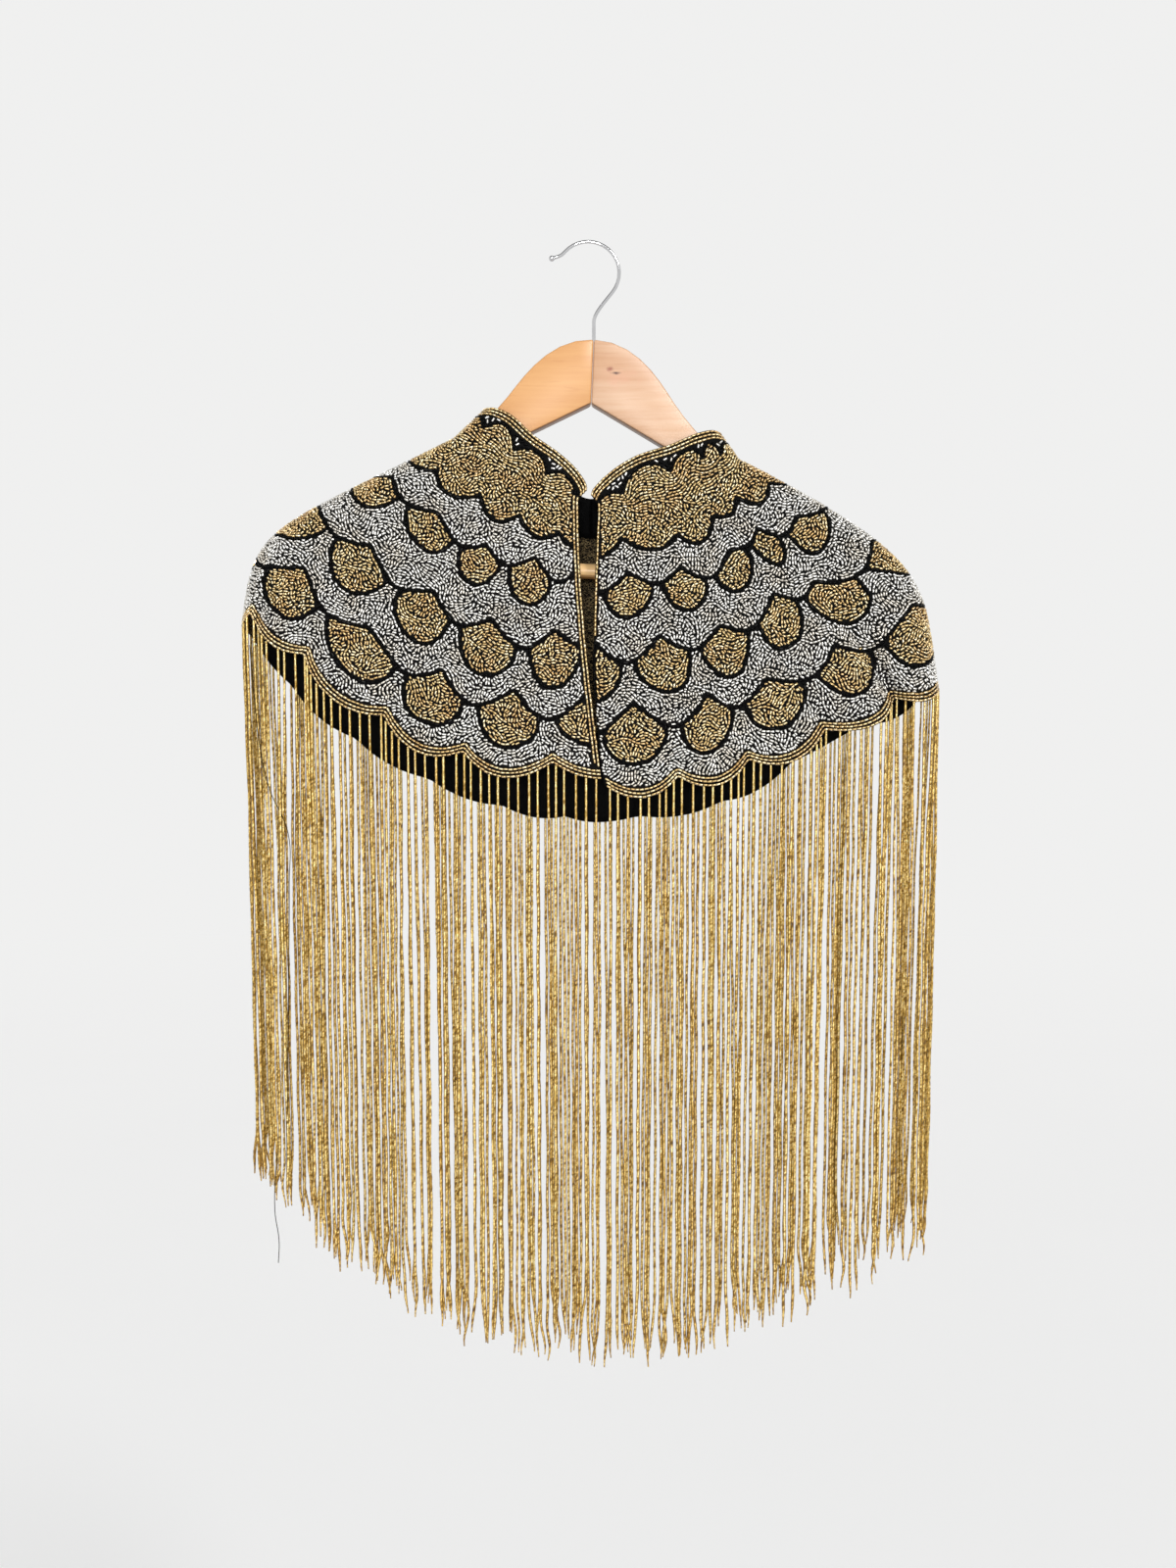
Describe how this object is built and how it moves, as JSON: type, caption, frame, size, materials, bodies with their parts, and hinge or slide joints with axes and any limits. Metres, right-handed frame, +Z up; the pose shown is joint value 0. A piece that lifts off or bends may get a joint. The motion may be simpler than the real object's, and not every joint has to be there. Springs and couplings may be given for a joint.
{
  "type": "beaded cape on a wooden hanger",
  "caption": "Short cape with a stand collar, fish-scale beading, a scalloped hem and a long bead fringe, hung on a wooden hanger by its hook.",
  "frame": {"origin": "inside top of the hook's bend, where a rail or a peg carries the hanger", "axes": "+X to the viewer's right, the garment's front faces -Y, +Z up along the hook"},
  "size_m": [0.503, 0.0652, 0.8144],
  "materials": {
    "beaded_cloth": "silver and gold bugle beads sewn close on black cloth",
    "black_satin": "black satin facing",
    "gold_beads": "strands of gold-lined glass seed beads",
    "varnished_wood": "clear satin varnish",
    "bright_steel": "bright plated wire"
  },
  "bodies": {
    "root": {"front_left": "beaded_cloth", "front_right": "beaded_cloth", "back": "beaded_cloth", "collar_left": "beaded_cloth", "collar_right": "beaded_cloth", "back_hem_facing": "black_satin", "fringe_front_left": "gold_beads", "fringe_front_right": "gold_beads", "fringe_back": "gold_beads", "hanger_arm_left": "varnished_wood", "hanger_arm_right": "varnished_wood", "hanger_bar": "varnished_wood", "hanger_hook": "bright_steel"}
  },
  "joints": []
}
